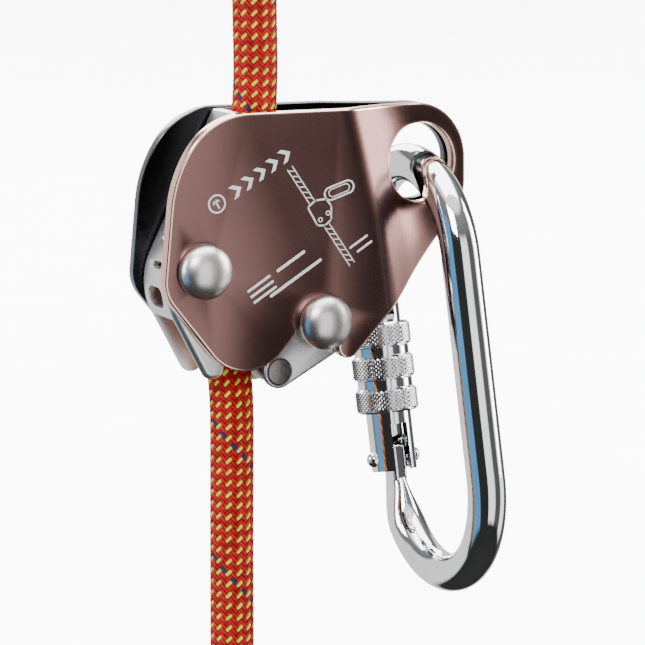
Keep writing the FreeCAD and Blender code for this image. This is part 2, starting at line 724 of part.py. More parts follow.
# the rod's forged end, flattened towards the hinge: angle on the bow, half its width along x and across
FORGED_END = [(36.0, 4.75, 4.75), (27.0, 4.45, 4.75), (15.0, 3.2, 4.75), (7.0, 2.35, 4.4), (2.5, 2.1, 3.8)]


def ring_rod():
    """The bent rod, from the nose over the top, down the spine and round to the gate's hinge."""
    radius, half = dim("ring_radius"), dim("ring_half")
    nose = dim("nose_z")
    end = math.radians(FORGED_END[0][0])

    def bow(centre_z, angle):
        return V(0, radius * math.cos(angle), centre_z + radius * math.sin(angle))

    edges = [Part.LineSegment(V(0, radius, nose), V(0, radius, half)),
             Part.Arc(bow(half, 0), bow(half, math.pi / 2), bow(half, math.pi)),
             Part.LineSegment(V(0, -radius, half), V(0, -radius, -half)),
             Part.Arc(bow(-half, math.pi), bow(-half, 1.5 * math.pi), bow(-half, 2 * math.pi - end))]
    path = Part.Wire([edge.toShape() for edge in edges])
    sections = []
    for degrees, half_x, half_across in FORGED_END:
        angle = -math.radians(degrees)
        oval = Part.Ellipse(V(0, 0, 0), half_across, half_x).toShape()
        turn = FreeCAD.Rotation(V(0, math.cos(angle), math.sin(angle)), V(-1, 0, 0),
                                V(0, -math.sin(angle), math.cos(angle)), "ZXY")
        oval.Placement = FreeCAD.Placement(bow(-half, angle), turn)
        sections.append(Part.Wire([oval]))
    rod = doc.addObject("Part::Feature", "ring_rod")
    rod.Shape = tube(path, dim("rod_diameter") / 2).fuse(Part.makeLoft(sections, True, False))
    return rod


def carabiner_frame():
    tongue = gate_box("hinge_tongue", "$tongue_half", "-$tongue_inner", "$tongue_outer", "$tongue_low_z",
                      "$tongue_top_z")
    pin_hole = cross_cylinder("hinge_hole", "$hinge_z", "$hinge_radius + $running_gap", "30")
    hook = gate_box("nose_hook", "$tongue_half", "-$nose_hook_half", "$nose_hook_half", "$nose_tip_z",
                    "$nose_z + 1")
    notch = gate_box("nose_notch", "$through / 4", "-9", "$nose_notch_y", "$latch_z - $nose_notch_half",
                     "$latch_z + $nose_notch_half")
    collar = gate_cylinder("nose_collar", "$nose_z", "$nose_z + $nose_collar_height",
                           "$gate_radius - 0.85")
    doc.recompute()
    soft_tongue = doc.addObject("Part::Fillet", "hinge_tongue_rounded")
    soft_tongue.Base = tongue
    soft_tongue.Edges = [(number, 1.1, 1.1) for number in range(1, len(tongue.Shape.Edges) + 1)]
    soft_collar = doc.addObject("Part::Fillet", "nose_collar_rounded")
    soft_collar.Base = collar
    soft_collar.Edges = [(number, 0.8, 0.8) for number, edge in enumerate(collar.Shape.Edges, start=1)
                         if edge.Curve.TypeId == "Part::GeomCircle"]
    solid = fuse("frame_blank", [ring_rod(), soft_tongue, cut("nose_hook_cut", hook, notch), soft_collar])
    return node(cut("frame_cut", solid, pin_hole), "carabiner_frame", RING)


def carabiner_gate():
    tube_body = gate_cylinder("gate_body", "$gate_end_z", "$gate_top_z", "$gate_radius")
    tools = [gate_cylinder("gate_bore", "$gate_end_z - 5", "$bore_top_z", "$gate_bore"),
             gate_box("gate_slot", "$tongue_half + 0.35", "-9", "9", "$nose_tip_z - 1", "30"),
             gate_box("gate_window", "$window_width / 2", "-9", "0", "$gate_end_z - 5", "$window_top_z"),
             cross_cylinder("gate_hinge_bore", "$hinge_z", "$hinge_radius", "30"),
             cross_cylinder("gate_latch_bore", "$latch_z", "$latch_radius", "30")]
    return node(cut("gate_cut", tube_body, fuse("gate_tools", tools)), "carabiner_gate", RING)


def hinge_pin():
    shank = cross_cylinder("hinge_shank", "$hinge_z", "$hinge_radius", "2 * $gate_radius + 0.4")
    heads = []
    for i, side in enumerate((-1, 1)):
        head = doc.addObject("Part::Sphere", "hinge_head_%d" % i)
        bind(head, Radius="$hinge_radius * 1.35", Placement__Base__y="$ring_radius",
             Placement__Base__z="$hinge_z", Placement__Base__x="%d * ($gate_radius - 0.35)" % side)
        heads.append(head)
    inside = gate_cylinder("hinge_head_trim", "-40", "-10", "$gate_radius")
    trimmed = cut("hinge_heads", fuse("hinge_head_pair", heads), inside)
    return node(fuse("hinge_pin_blank", [shank, trimmed]), "gate_hinge_pin", RING)


def latch_pin():
    shank = cross_cylinder("latch_shank", "$latch_z", "$latch_radius", "2 * $gate_radius - 0.3")
    pin = doc.addObject("Part::Compound", "latch_pin_shape")
    pin.Links = [shank]
    return node(pin, "gate_latch_pin", RING)


def gate_spring():
    wire, radius = dim("gate_spring_wire"), dim("gate_spring_coil_radius")
    low, high = dim("gate_spring_low_z"), dim("bore_top_z") - wire / 2 - 0.05
    turns = 7
    solid = doc.addObject("Part::Feature", "gate_spring_coil")
    solid.Shape = coil(radius, wire, (high - low) / turns, turns)
    return node(solid, "gate_spring", on_gate_axis(low))


def gate_plunger():
    radius, top, low = dim("plunger_radius"), dim("plunger_top_z"), dim("plunger_low_z")
    cone = dim("plunger_cone")
    points = [(0, low), (radius - cone, low), (radius, low + 0.75 * cone), (radius, top), (0, top)]
    return turned("gate_plunger", profile(points), on_gate_axis(0))


def locking_sleeve():
    """Screw sleeve: three knurled bands with two plain grooves, bored to slide on the gate."""
    outer, groove = dim("sleeve_radius"), dim("sleeve_groove_radius")
    bore_radius = dim("gate_radius") + dim("sleeve_clearance")
    top, low = dim("sleeve_top_z"), dim("sleeve_low_z")
    bands, groove_width, bevel = 3, dim("sleeve_groove_width"), dim("sleeve_bevel")
    band = (top - low - (bands - 1) * groove_width) / bands
    points = [(bore_radius, top), (bore_radius, low)]
    for i in range(bands):
        start = low + i * (band + groove_width)
        points += [(outer - bevel if i == 0 else groove, start), (outer, start + (bevel if i == 0 else 0)),
                   (outer, start + band - (bevel if i == bands - 1 else 0))]
        points.append((outer - bevel if i == bands - 1 else groove, start + band))
    return turned("locking_sleeve", profile(points), on_gate_axis(0))


carabiner_frame()
carabiner_gate()
hinge_pin()
latch_pin()
gate_spring()
gate_plunger()
locking_sleeve()

# ---------------------------------------------------------------- check and write
doc.recompute()
for obj in doc.Objects:
    if "Invalid" in obj.State or "Error" in obj.State:
        raise RuntimeError("%s failed: %s" % (obj.Label, obj.State))
os.makedirs("parts", exist_ok=True)
for obj in nodes:
    shape = obj.Shape
    if shape.isNull() or not shape.isValid() or not shape.Solids:
        raise RuntimeError("%s has no valid solid" % obj.Label)
    shape.exportStep("parts/%s.step" % obj.Label)
    print("%-24s solids %d volume %.1f" % (obj.Label, len(shape.Solids), shape.Volume))
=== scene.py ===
"""The looks of the rope grab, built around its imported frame. Shapes are in mm until a mesh is made."""
import math

import bmesh
import bpy
import numpy as np
from mathutils import Matrix, Vector
from mathutils.geometry import delaunay_2d_cdt


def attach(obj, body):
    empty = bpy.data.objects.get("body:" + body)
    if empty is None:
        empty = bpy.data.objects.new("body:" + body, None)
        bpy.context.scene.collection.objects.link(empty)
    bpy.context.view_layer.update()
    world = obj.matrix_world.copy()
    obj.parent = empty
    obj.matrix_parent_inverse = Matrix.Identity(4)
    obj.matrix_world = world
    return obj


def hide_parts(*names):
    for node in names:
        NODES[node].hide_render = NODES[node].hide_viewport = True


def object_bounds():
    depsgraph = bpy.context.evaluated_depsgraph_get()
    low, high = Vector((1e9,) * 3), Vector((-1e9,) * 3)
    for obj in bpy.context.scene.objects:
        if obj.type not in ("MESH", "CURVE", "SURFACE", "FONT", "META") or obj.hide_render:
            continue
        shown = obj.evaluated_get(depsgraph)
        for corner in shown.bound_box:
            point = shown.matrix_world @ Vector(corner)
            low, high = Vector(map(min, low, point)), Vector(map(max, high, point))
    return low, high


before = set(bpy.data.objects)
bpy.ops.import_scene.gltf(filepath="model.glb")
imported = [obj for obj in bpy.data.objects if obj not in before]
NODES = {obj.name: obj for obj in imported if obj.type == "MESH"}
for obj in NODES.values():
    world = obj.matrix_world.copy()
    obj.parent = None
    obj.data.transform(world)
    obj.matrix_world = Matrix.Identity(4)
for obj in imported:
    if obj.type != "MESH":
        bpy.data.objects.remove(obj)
cad_low, cad_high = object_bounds()
MM = 0.001

# ---------------------------------------------------------------- sizes shared with the CAD source, in mm
PIVOT = (-12.2, 0.0)
CAM = (19.5, -14.4)
CROSS = (9.3, -26.4)
RING_HOLE = (48.9, 21.9)
RING_HOLE_RADIUS = 9.6
PLATE_INNER, PLATE_THICK = 8.0, 3.0
PIN_RADIUS = 3.5
BEND_AT, BEND_TILT = (30.0, 13.5), math.radians(14.3)
BEND_RADIUS, BEND_ANGLE, BEND_STRAIGHT = 9.0, math.radians(26.0), 3.5
RETURN_RADIUS, RETURN_ANGLE = 42.0, math.radians(4.0)
ROPE_RADIUS = 5.4
RING_RADIUS = 24.25  # from the carabiner's middle to the gate's axis
RING = (Matrix.Translation((53.5, 0.0, -30.2))
        @ Matrix.Rotation(math.radians(-2.5), 4, "Y") @ Matrix.Rotation(math.radians(-9.7), 4, "X"))
GATE = RING @ Matrix.Translation((0.0, RING_RADIUS, 0.0))

FRONT_OUTLINE = [
    (-10.4, 36.9, 18.0), (-19.8, 22.0, 30.0), (-22.4, -5.0, 9.0), (-1.2, -31.5, 12.0),
    (14.0, -14.7, 4.0), (17.3, -8.6, 4.35), (25.3, -12.2, 4.35), (22.7, -23.9, 2.8),
    (27.3, -23.9, 2.6), (62.0, 11.4, 14.0), (62.0, 36.3, 14.0),
]
BACK_OUTLINE = FRONT_OUTLINE[:4] + [(11.0, -18.6, 5.0), (19.5, -23.9, 5.5)] + FRONT_OUTLINE[8:]

# routes of the rope's two stretches, as in the CAD source: x and z
ROPE_UP = [(-2, -6), (-1.8, 5), (1.2, 17.5), (5.7, 30.5), (6.8, 44), (6.4, 60), (6.4, 74)]
ROPE_DOWN = [(-2, -6), (-2.2, -17), (0.1, -31), (0, -50), (-0.15, -74), (-0.15, -98)]
EYE_CENTRE, EYE_RADIUS = (6.4, 124.0), 15.9


# ---------------------------------------------------------------- camera, floor and light
CAMERA_AT, CAMERA_TARGET = (-0.3413, -0.7352, 0.1218), (0.0245, 0.0, -0.01662)  # metres
FOCAL_LENGTH, SENSOR_WIDTH = 190.6, 36.0  # mm


def aim(obj, place, target):
    """Put a camera or light at a place, in metres, looking at a target, and link it to the scene."""
    obj.location = Vector(place)
    obj.rotation_euler = (Vector(target) - Vector(place)).to_track_quat("-Z", "Y").to_euler()
    bpy.context.scene.collection.objects.link(obj)


def make_camera():
    data = bpy.data.cameras.new("camera")
    data.lens, data.sensor_width = FOCAL_LENGTH, SENSOR_WIDTH
    data.clip_start, data.clip_end = 0.05, 60.0
    camera = bpy.data.objects.new("camera", data)
    aim(camera, CAMERA_AT, CAMERA_TARGET)
    bpy.context.scene.camera = camera


def make_light(name, place, target, size, power):
    """A rectangular light: place, target and size in metres, power in watts."""
    data = bpy.data.lights.new(name, "AREA")
    data.shape = "RECTANGLE"
    data.size, data.size_y = size
    data.energy = power
    light = bpy.data.objects.new(name, data)
    aim(light, place, target)
    light.visible_camera = False


def add_node(tree, kind, inputs=(), **settings):
    """A shader node with its settings; each input is a value or another node's output."""
    made = tree.nodes.new(kind)
    for key, value in settings.items():
        setattr(made, key, value)
    for key, value in dict(inputs).items():
        if isinstance(value, bpy.types.NodeSocket):
            tree.links.new(value, made.inputs[key])
        else:
            made.inputs[key].default_value = value
    return made


def fill_ramp(ramp, stops):
    """Set a colour ramp's stops, each a position and a grey or a colour."""
    elements = ramp.color_ramp.elements
    while len(elements) < len(stops):
        elements.new(0.5)
    for element, (position, colour) in zip(elements, stops):
        element.position = position
        element.color = (*colour, 1) if isinstance(colour, tuple) else (colour, colour, colour, 1)


# what bright metal sees round the horizon: (direction in degrees from +X, brightness or colour)
SKY_BLUE = (0.16, 0.50, 0.90)
PANELS = [(-180, SKY_BLUE), (-160, SKY_BLUE), (-157, 0.04), (-110, 0.04), (-106, 2.2),
          (-72, 2.2), (-65, 0.15), (-34, 0.14), (-26, 2.6), (-4, 2.6), (2, 0.12), (32, 0.16), (42, 1.4),
          (145, 1.4), (150, 0.3), (160, 0.3), (163, SKY_BLUE), (180, SKY_BLUE)]
# what it sees above and below: (height of the direction, share of the panels, even light)
LEVELS = [(-1.0, 0.0, 0.05), (-0.64, 0.0, 0.04), (-0.54, 1.0, 0.0), (0.38, 1.0, 0.0), (0.48, 0.0, 0.25),
          (0.72, 0.0, 0.35), (0.80, 0.0, 2.0), (1.0, 0.0, 2.0)]
WORLD_STRENGTH = 0.8


def make_world():
    """A studio of soft panels round the horizon, with a light overhead and darkness below."""
    world = bpy.data.worlds.new("studio")
    bpy.context.scene.world = world
    world.use_nodes = True
    tree = world.node_tree

    def node(kind, inputs=(), **settings):
        return add_node(tree, kind, inputs, **settings)

    direction = node("ShaderNodeTexCoord").outputs["Generated"]
    split = node("ShaderNodeSeparateXYZ", {0: direction})
    angle = node("ShaderNodeMath", {0: split.outputs["Y"], 1: split.outputs["X"]}, operation="ARCTAN2")
    turn = node("ShaderNodeMapRange", {"Value": angle.outputs[0], "From Min": -math.pi, "From Max": math.pi})
    panels = node("ShaderNodeValToRGB", {0: turn.outputs[0]})
    fill_ramp(panels, [((degrees + 180) / 360, colour) for degrees, colour in PANELS])
    height = node("ShaderNodeMapRange", {"Value": split.outputs["Z"], "From Min": -1.0, "From Max": 1.0})
    share = node("ShaderNodeValToRGB", {0: height.outputs[0]})
    fill_ramp(share, [((z + 1) / 2, part) for z, part, _ in LEVELS])
    even = node("ShaderNodeValToRGB", {0: height.outputs[0]})
    fill_ramp(even, [((z + 1) / 2, light) for z, _, light in LEVELS])
    shown = node("ShaderNodeMix", {"Factor": 1.0, 6: panels.outputs[0], 7: share.outputs[0]},
                 data_type="RGBA", blend_type="MULTIPLY")
    total = node("ShaderNodeMix", {"Factor": 1.0, 6: shown.outputs[2], 7: even.outputs[0]},
                 data_type="RGBA", blend_type="ADD")
    tree.links.new(total.outputs[2], tree.nodes["Background"].inputs["Color"])
    tree.nodes["Background"].inputs["Strength"].default_value = WORLD_STRENGTH


def make_floor():
    """A bright paper floor that turns up into a wall far away, seen by the camera alone."""
    reach, wall, level, sides = 9.0, 7.0, cad_low.z - 0.001, 48
    rim = [(reach * math.cos(2 * math.pi * i / sides), reach * math.sin(2 * math.pi * i / sides))
           for i in range(sides)]
    points = [(x, y, level) for x, y in rim] + [(x, y, level + wall) for x, y in rim]
    walls = [(i, i + sides, (i + 1) % sides + sides, (i + 1) % sides) for i in range(sides)]
    mesh = bpy.data.meshes.new("floor")
    mesh.from_pydata(points, [], [tuple(range(sides))] + walls)
    floor = bpy.data.objects.new("floor", mesh)
    bpy.context.scene.collection.objects.link(floor)
    floor.visible_glossy = False
    floor.visible_diffuse = False
    floor.visible_shadow = False
    paint = Shader("floor_paper", (0.86, 0.86, 0.86), roughness=0.9, Emission_Strength=9.0)
    grain = paint.noise(paint.coords((0.004, 0.004, 0.004)), 6.0)
    shade = paint.colours(grain, [(0.3, (0.84, 0.84, 0.845)), (0.7, (0.88, 0.88, 0.88))])
    paint.tree.links.new(shade, paint.shader.inputs["Emission Color"])
    mesh.materials.append(paint.material)


# ---------------------------------------------------------------- materials
class Shader:
    """A node material under construction round one Principled shader."""

    def __init__(self, name, colour, metallic=0.0, roughness=0.5, **constants):
        self.material = bpy.data.materials.new(name)
        self.material.use_nodes = True
        self.tree = self.material.node_tree
        self.shader = self.tree.nodes["Principled BSDF"]
        self.shader.inputs["Base Color"].default_value = (*colour, 1)
        self.shader.inputs["Metallic"].default_value = metallic
        self.shader.inputs["Roughness"].default_value = roughness
        for key, value in constants.items():
            self.shader.inputs[key.replace("_", " ")].default_value = value

    def node(self, kind, inputs=(), **settings):
        return add_node(self.tree, kind, inputs, **settings)

    def coords(self, scale=(1, 1, 1), place=(0, 0, 0), turn=(0, 0, 0), source="Object"):
        """Coordinates in mm times a scale, from the frame or from the UV map."""
        origin = self.node("ShaderNodeTexCoord").outputs[source]
        unit = 1000.0 if source == "Object" else 1.0
        moved = self.node("ShaderNodeVectorMath", {0: origin, 1: (unit,) * 3}, operation="MULTIPLY")
        shifted = self.node("ShaderNodeVectorMath", {0: moved.outputs[0], 1: place}, operation="SUBTRACT")
        return self.node("ShaderNodeMapping", {"Vector": shifted.outputs[0], "Scale": scale,
                                               "Rotation": turn}).outputs[0]

    def noise(self, vector, scale, detail=3.0, rough=0.5):
        """A noise value round 0.5."""
        made = self.node("ShaderNodeTexNoise", {"Vector": vector, "Scale": scale, "Detail": detail,
                                                "Roughness": rough})
        return made.outputs["Fac"]

    def colours(self, value, stops):
        """Colour the surface by a value, through a ramp."""
        made = self.node("ShaderNodeValToRGB", {0: value})
        fill_ramp(made, stops)
        self.tree.links.new(made.outputs[0], self.shader.inputs["Base Color"])
        return made.outputs[0]

    def roughness(self, value, low, high):
        """Let the roughness follow a value between two limits."""
        scaled = self.node("ShaderNodeMapRange", {"Value": value, "From Min": 0.3, "From Max": 0.7,
                                                  "To Min": low, "To Max": high})
        self.tree.links.new(scaled.outputs[0], self.shader.inputs["Roughness"])

    def bumps(self, *layers):
        """Each layer is a height value and its depth in mm."""
        normal = None
        for value, depth in layers:
            made = self.node("ShaderNodeBump", {"Height": value, "Distance": depth * MM, "Strength": 1.0})
            if normal:
                self.tree.links.new(normal, made.inputs["Normal"])
            normal = made.outputs[0]
        self.tree.links.new(normal, self.shader.inputs["Normal"])


def metal(name, dark, light, rough, grain, grain_scale, depth, turn=(0, 0, 0)):
    """Metal with a fine grain, drawn out along the axes where grain is small, and soft smudges."""
    made = Shader(name, light, metallic=1.0, roughness=rough[0])
    fine = made.noise(made.coords(grain, turn=turn), grain_scale, 4.0, 0.6)
    smudge = made.noise(made.coords((0.03, 0.03, 0.03)), 1.6, 1.0)
    both = made.node("ShaderNodeMath", {0: fine, 1: smudge}, operation="ADD").outputs[0]
    half = made.node("ShaderNodeMath", {0: both, 1: 0.5}, operation="MULTIPLY").outputs[0]
    made.colours(half, [(0.35, dark), (0.62, light)])
    made.roughness(half, *rough)
    made.bumps((fine, depth))
    return made


def turned_metal(name, dark, light, rough, centre):
    """Metal with the fine rings that a lathe leaves round an axis along y."""
    pitch, depth, wave_period = 0.35, 0.004, 0.314
    made = Shader(name, light, metallic=1.0, roughness=rough[0])
    vector = made.coords((1, 1, 1), (centre[0], 0, centre[1]))
    rings = made.node("ShaderNodeTexWave", {"Vector": vector, "Scale": wave_period / pitch, "Distortion": 0.8,
                                            "Detail": 2.0, "Detail Scale": 0.6},
                      wave_type="RINGS", rings_direction="Y").outputs["Fac"]
    wear = made.noise(vector, 0.9, 4.0, 0.65)
    made.colours(wear, [(0.3, dark), (0.65, light)])
    made.roughness(wear, *rough)
    made.bumps((rings, depth), (wear, depth * 1.5))
    return made


# painted shade: how much the colour darkens down each strand's sides, where strands meet
YARN_PAINTED_SHADE = 3.0  # how much darker a strand is down its sides


def yarn(name, dark, light):
    """Twisted polyamide yarn: fine filaments along each strand, with painted shade down the sides where
    strands meet.
    """
    made = Shader(name, light, roughness=0.62, Specular_IOR_Level=0.25)
    along = made.coords((0.9, 7.0, 1.0), turn=(0, 0, 0.35), source="UV")
    fibres = made.noise(along, 2.2, 3.0, 0.6)
    patches = made.noise(made.coords((0.25, 0.25, 0.25)), 1.5, 2.0)
    both = made.node("ShaderNodeMath", {0: fibres, 1: patches}, operation="ADD").outputs[0]
    half = made.node("ShaderNodeMath", {0: both, 1: 0.5}, operation="MULTIPLY").outputs[0]
    # painted shade: the colour darkens from each strand's middle towards its sides, where strands meet
    strand = made.node("ShaderNodeSeparateXYZ", {0: made.coords((1, 1, 1), source="UV")}).outputs[1]
    from_middle = made.node("ShaderNodeMath", {0: strand, 1: 0.5}, operation="PINGPONG").outputs[0]
    groove = made.node("ShaderNodeMath", {0: from_middle, 1: from_middle}, operation="MULTIPLY").outputs[0]
    shade = made.node("ShaderNodeMath", {0: groove, 1: -YARN_PAINTED_SHADE, 2: half},
                      operation="MULTIPLY_ADD").outputs[0]
    made.colours(shade, [(0.05, dark), (0.5, light)])
    made.roughness(fibres, 0.5, 0.75)
    made.bumps((fibres, 0.09))
    return made


def plastic(name, dark, light, rough, grain, depth):
    """Plastic or print with a fine even grain."""
    made = Shader(name, light, roughness=rough[0])
    fine = made.noise(made.coords((grain, grain, grain)), 3.0, 4.0, 0.6)
    made.colours(fine, [(0.35, dark), (0.65, light)])
    made.roughness(fine, *rough)
    made.bumps((fine, depth))
    return made


def make_materials():
    """Every material by a short key. Metals: dark and light colour, roughness limits, grain and its depth."""
    table = {
        "bronze": metal("bronze_anodised", (0.168, 0.088, 0.081), (0.207, 0.112, 0.103), (0.21, 0.27),
                        (0.12, 1, 2.2), 5.0, 0.002, turn=(0, 0.25, 0)),
        # a lighter copy of the bronze for the plate's rounded rim: painted highlight
        "bronze_highlight_rim": metal("bronze_rim_painted_highlight", (0.80, 0.47, 0.36), (0.98, 0.68, 0.56), (0.10, 0.22),
                             (0.5, 0.5, 0.5), 4.0, 0.003),
        "black": metal("black_anodised", (0.016, 0.016, 0.018), (0.024, 0.024, 0.027), (0.22, 0.30),
                       (0.3, 1, 2), 4.0, 0.003),
        # a lighter copy of the black for the plate's rounded rim: painted highlight
        "black_highlight_rim": metal("black_rim_painted_highlight", (0.05, 0.05, 0.055), (0.14, 0.14, 0.15), (0.12, 0.24),
                            (0.5, 0.5, 0.5), 4.0, 0.003),
        "shell": metal("shell_brushed", (0.72, 0.715, 0.72), (0.86, 0.855, 0.86), (0.30, 0.42),
                       (1.2, 1.2, 0.30), 4.0, 0.003),
        "rivet": metal("rivet_satin", (0.70, 0.67, 0.645), (0.84, 0.80, 0.77), (0.30, 0.36),
                       (0.5, 0.5, 0.5), 3.0, 0.001),
        "arm": metal("arm_brushed", (0.44, 0.44, 0.455), (0.58, 0.58, 0.595), (0.22, 0.34),
                     (0.15, 1, 2.4), 4.0, 0.004, turn=(0, -0.87, 0)),
        "cross_pin": turned_metal("cross_pin_turned", (0.15, 0.135, 0.128), (0.24, 0.215, 0.205),
                                  (0.26, 0.36), CROSS),
        "cam": metal("cam_cast_steel", (0.30, 0.295, 0.29), (0.46, 0.455, 0.45), (0.32, 0.48),
                     (0.7, 0.7, 0.7), 2.0, 0.02),
        "bush": turned_metal("bush_brass", (0.52, 0.37, 0.16), (0.70, 0.53, 0.26), (0.24, 0.36), PIVOT),
        "washer": plastic("washer_nylon", (0.70, 0.69, 0.65), (0.84, 0.83, 0.79), (0.4, 0.5), 1.5, 0.006),
        "spring": metal("spring_wire", (0.34, 0.34, 0.36), (0.56, 0.56, 0.58), (0.18, 0.30),
                        (1, 1, 1), 4.0, 0.004),
        "chrome": metal("chrome_plate", (0.80, 0.81, 0.83), (0.92, 0.925, 0.94), (0.03, 0.085),
                        (0.3, 0.3, 0.05), 1.2, 0.0012),
        "knurl": metal("knurled_chrome", (0.68, 0.68, 0.69), (0.90, 0.90, 0.91), (0.10, 0.22),
                       (0.8, 0.8, 0.8), 3.0, 0.004),
        "red": yarn("yarn_red", (0.10, 0.000, 0.001), (0.70, 0.010, 0.009)),
        "yellow": yarn("yarn_yellow", (0.46, 0.26, 0.010), (1.0, 0.86, 0.090)),
        "navy": yarn("yarn_navy", (0.008, 0.010, 0.05), (0.03, 0.035, 0.13)),
        # the core is coloured near-black red as painted shade in the gaps between the strands
        "core": plastic("rope_core_painted_shade", (0.06, 0.001, 0.001), (0.10, 0.002, 0.002), (0.8, 0.9), 2.0, 0.05),
        "sleeve": plastic("sleeve_shrunk", (0.016, 0.016, 0.018), (0.035, 0.035, 0.038), (0.32, 0.46), 0.8,
                          0.02),
        "thimble": metal("thimble_zinc", (0.56, 0.57, 0.58), (0.78, 0.79, 0.80), (0.20, 0.32),
                         (0.6, 0.6, 0.6), 2.0, 0.003),
        "ink": plastic("marking_white", (0.78, 0.76, 0.74), (0.92, 0.91, 0.89), (0.5, 0.6), 2.0, 0.004),
    }
    return {key: made.material for key, made in table.items()}


# ---------------------------------------------------------------- making meshes
def add_piece(name, points, faces, body, materials, face_materials, slot, stands_for=(), crease=30.0,
              smooth=True):
    """A mesh piece from points in mm. Edges sharper than the crease angle stay sharp."""
    mesh = bpy.data.meshes.new(name)
    mesh.from_pydata((np.asarray(points, float) * MM).tolist(), [], faces)
    for material in materials:
        mesh.materials.append(MATERIALS[material])
    mesh.polygons.foreach_set("material_index", np.asarray(face_materials, np.int32))
    if smooth:
        mesh.polygons.foreach_set("use_smooth", np.ones(len(mesh.polygons), bool))
        mesh.set_sharp_from_angle(angle=math.radians(crease))
    mesh.validate()
    mesh.update()
    piece = bpy.data.objects.new(name, mesh)
    bpy.context.scene.collection.objects.link(piece)
    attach(piece, body)
    if stands_for:
        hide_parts(*stands_for)
    return piece


class Mesh:
    """Points and faces gathered from several closed parts."""

    def __init__(self):
        self.points, self.faces, self.kinds = [], [], []

    def add(self, points, faces):
        start = len(self.points)
        self.points += [tuple(p) for p in points]
        self.faces += [tuple(start + i for i in face) for face in faces]
        self.kinds += [0] * len(faces)

    def rings(self, rings, closed_ends=True):
        """A closed skin through rings that all have the same number of points."""
        start, count, before = len(self.points), len(rings[0]), len(self.faces)
        for ring in rings:
            self.points += [tuple(p) for p in ring]
        for level in range(len(rings) - 1):
            for i in range(count):
                j = (i + 1) % count
                a, b = start + level * count, start + (level + 1) * count
                self.faces.append((a + i, a + j, b + j, b + i))
        if closed_ends:
            self.faces.append(tuple(start + i for i in reversed(range(count))))
            self.faces.append(tuple(start + (len(rings) - 1) * count + i for i in range(count)))
        self.kinds += [0] * (len(self.faces) - before)

    def piece(self, name, body, materials, slot, **options):
        return add_piece(name, self.points, self.faces, body, materials, self.kinds, slot, **options)


def lathe_rings(profile, place, count=72):
    """Rings of a turned part: profile holds (radius, height) along the z axis of a placement."""
    angles = np.linspace(0, 2 * math.pi, count, endpoint=False)
    return [[place @ Vector((radius * math.cos(a), radius * math.sin(a), height)) for a in angles]
            for radius, height in profile]


def facing(x, z, y, front):
    """A placement whose z axis points out of the front or the back at a point."""
    turn = Matrix.Rotation(math.pi / 2 if front else -math.pi / 2, 4, "X")
    return Matrix.Translation((x, y, z)) @ turn


# ---------------------------------------------------------------- side plates
def rounded(corners, step=4.0):
    """Points round a polygon whose corners (x, z, radius) are rounded."""
    points = []
    for i, (x, z, radius) in enumerate(corners):
        here = Vector((x, z))
        before = (Vector(corners[i - 1][:2]) - here).normalized()
        after = (Vector(corners[(i + 1) % len(corners)][:2]) - here).normalized()
        half = before.angle(after) / 2
        start = here + before * (radius / math.tan(half))
        end = here + after * (radius / math.tan(half))
        centre = here + (before + after).normalized() * (radius / math.sin(half))
        first, last = (start - centre), (end - centre)
        sweep = first.angle_signed(last)
        count = max(3, math.ceil(math.degrees(abs(sweep)) / step))
        for k in range(count + 1):
            turn = -sweep * k / count
            c, s = math.cos(turn), math.sin(turn)
            points.append(centre + Vector((first.x * c - first.y * s, first.x * s + first.y * c)))
    return [point for i, point in enumerate(points) if (point - points[i - 1]).length > 0.05]


def round_hole(x, z, radius):
    """Points round a hole in a plate."""
    count = 72
    return [Vector((x + radius * math.cos(a), z + radius * math.sin(a)))
            for a in np.linspace(0, 2 * math.pi, count, endpoint=False)]


def moved_out(loop, distance):
    """A closed run of points moved to the right of its direction, with mitred corners."""
    result = []
    for i, here in enumerate(loop):
        one = (here - loop[i - 1]).normalized()
        two = (loop[(i + 1) % len(loop)] - here).normalized()
        side = Vector((one.y + two.y, -one.x - two.x)).normalized()
        mitre = 1 / max(side.dot(Vector((one.y, -one.x))), 0.7)
        result.append(here + side * distance * mitre)
    return result


def inside(point, loop):
    """Whether a point lies within a closed run of points."""
    hit = False
    for i, a in enumerate(loop):
        b = loop[i - 1]
        if (a.y > point.y) != (b.y > point.y):
            if point.x < (b.x - a.x) * (point.y - a.y) / (b.y - a.y) + a.x:
                hit = not hit
    return hit


def joggle(x, z, depth):
    """Distance from the mid-plane of a point of the bent plate, depth mm below its outer face."""
    u = (x - BEND_AT[0]) * math.cos(BEND_TILT) + (z - BEND_AT[1]) * math.sin(BEND_TILT)
    height = PLATE_INNER + PLATE_THICK - depth
    bend = BEND_RADIUS + PLATE_THICK - depth
    back = RETURN_RADIUS + depth
    if u <= 0:
        return height
    bend_run = bend * math.sin(BEND_ANGLE)
    if u <= bend_run:
        return height - bend + math.sqrt(bend * bend - u * u)
    height -= bend * (1 - math.cos(BEND_ANGLE))
    u -= bend_run
    straight_run = BEND_STRAIGHT * math.cos(BEND_ANGLE)
    if u <= straight_run:
        return height - u * math.tan(BEND_ANGLE)
    height -= straight_run * math.tan(BEND_ANGLE)
    u -= straight_run
    back_run = back * (math.sin(BEND_ANGLE) - math.sin(RETURN_ANGLE))
    if u <= back_run:
        here = math.asin(math.sin(BEND_ANGLE) - u / back)
        return height - back * (math.cos(here) - math.cos(BEND_ANGLE))
    height -= back * (math.cos(RETURN_ANGLE) - math.cos(BEND_ANGLE))
    return height - (u - back_run) * math.tan(RETURN_ANGLE)


def bend_lines():
    """Distances across the bend line at which the plate's triangles are divided."""
    bend_run = (BEND_RADIUS + PLATE_THICK) * math.sin(BEND_ANGLE)
    straight = bend_run + BEND_STRAIGHT * math.cos(BEND_ANGLE)
    back = straight + RETURN_RADIUS * (math.sin(BEND_ANGLE) - math.sin(RETURN_ANGLE))
    return [-0.4, *np.linspace(0, bend_run, 8), *np.linspace(straight, back, 14), back + 0.5]


